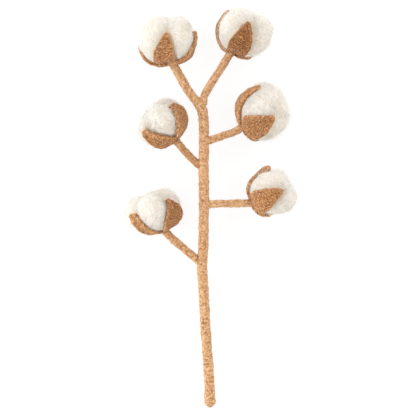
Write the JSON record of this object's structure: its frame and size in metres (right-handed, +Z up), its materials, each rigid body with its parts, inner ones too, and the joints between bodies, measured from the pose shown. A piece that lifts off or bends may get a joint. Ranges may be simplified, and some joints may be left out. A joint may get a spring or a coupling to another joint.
{
  "type": "felt cotton stem",
  "caption": "Branched decorative cotton stem in wool felt: yarn-wrapped wire stem and side branches, each ending in a lobed white wool boll held in brown felt bracts.",
  "frame": {"origin": "middle of the stem's outline seen from above, on the surface that it lies on", "axes": "+Y along the stem from its cut end towards the bolls, +X to the right seen from above, +Z up from the surface"},
  "size_m": [0.1721, 0.4003, 0.0552],
  "materials": {
    "wool": "needle-felted wool, matt, with a soft fuzz",
    "sheet_felt": "thick sheet felt, mottled brown with lighter cut edges",
    "yarn": "soft wool yarn wound in close turns",
    "wire": "plain drawn wire, hidden in the wrap"
  },
  "bodies": {
    "root": {"boll_a_bract_back": "sheet_felt", "boll_a_bract_front": "sheet_felt", "boll_a_bract_left": "sheet_felt", "boll_a_bract_right": "sheet_felt", "boll_a_wool": "wool", "boll_b_bract_back": "sheet_felt", "boll_b_bract_front": "sheet_felt", "boll_b_bract_left": "sheet_felt", "boll_b_bract_right": "sheet_felt", "boll_b_wool": "wool", "boll_c_bract_left": "sheet_felt", "boll_c_bract_low_left": "sheet_felt", "boll_c_bract_low_right": "sheet_felt", "boll_c_bract_right": "sheet_felt", "boll_c_wool": "wool", "boll_d_bract_back": "sheet_felt", "boll_d_bract_front": "sheet_felt", "boll_d_bract_left": "sheet_felt", "boll_d_bract_right": "sheet_felt", "boll_d_wool": "wool", "boll_e_bract_left": "sheet_felt", "boll_e_bract_low_left": "sheet_felt", "boll_e_bract_low_right": "sheet_felt", "boll_e_bract_right": "sheet_felt", "boll_e_wool": "wool", "boll_f_bract_back": "sheet_felt", "boll_f_bract_front": "sheet_felt", "boll_f_bract_left": "sheet_felt", "boll_f_bract_right": "sheet_felt", "boll_f_wool": "wool", "branch_b_wire": "wire", "branch_b_yarn": "yarn", "branch_c_wire": "wire", "branch_c_yarn": "yarn", "branch_d_wire": "wire", "branch_d_yarn": "yarn", "branch_e_wire": "wire", "branch_e_yarn": "yarn", "branch_f_wire": "wire", "branch_f_yarn": "yarn", "stem_wire": "wire", "stem_yarn": "yarn"}
  },
  "joints": []
}
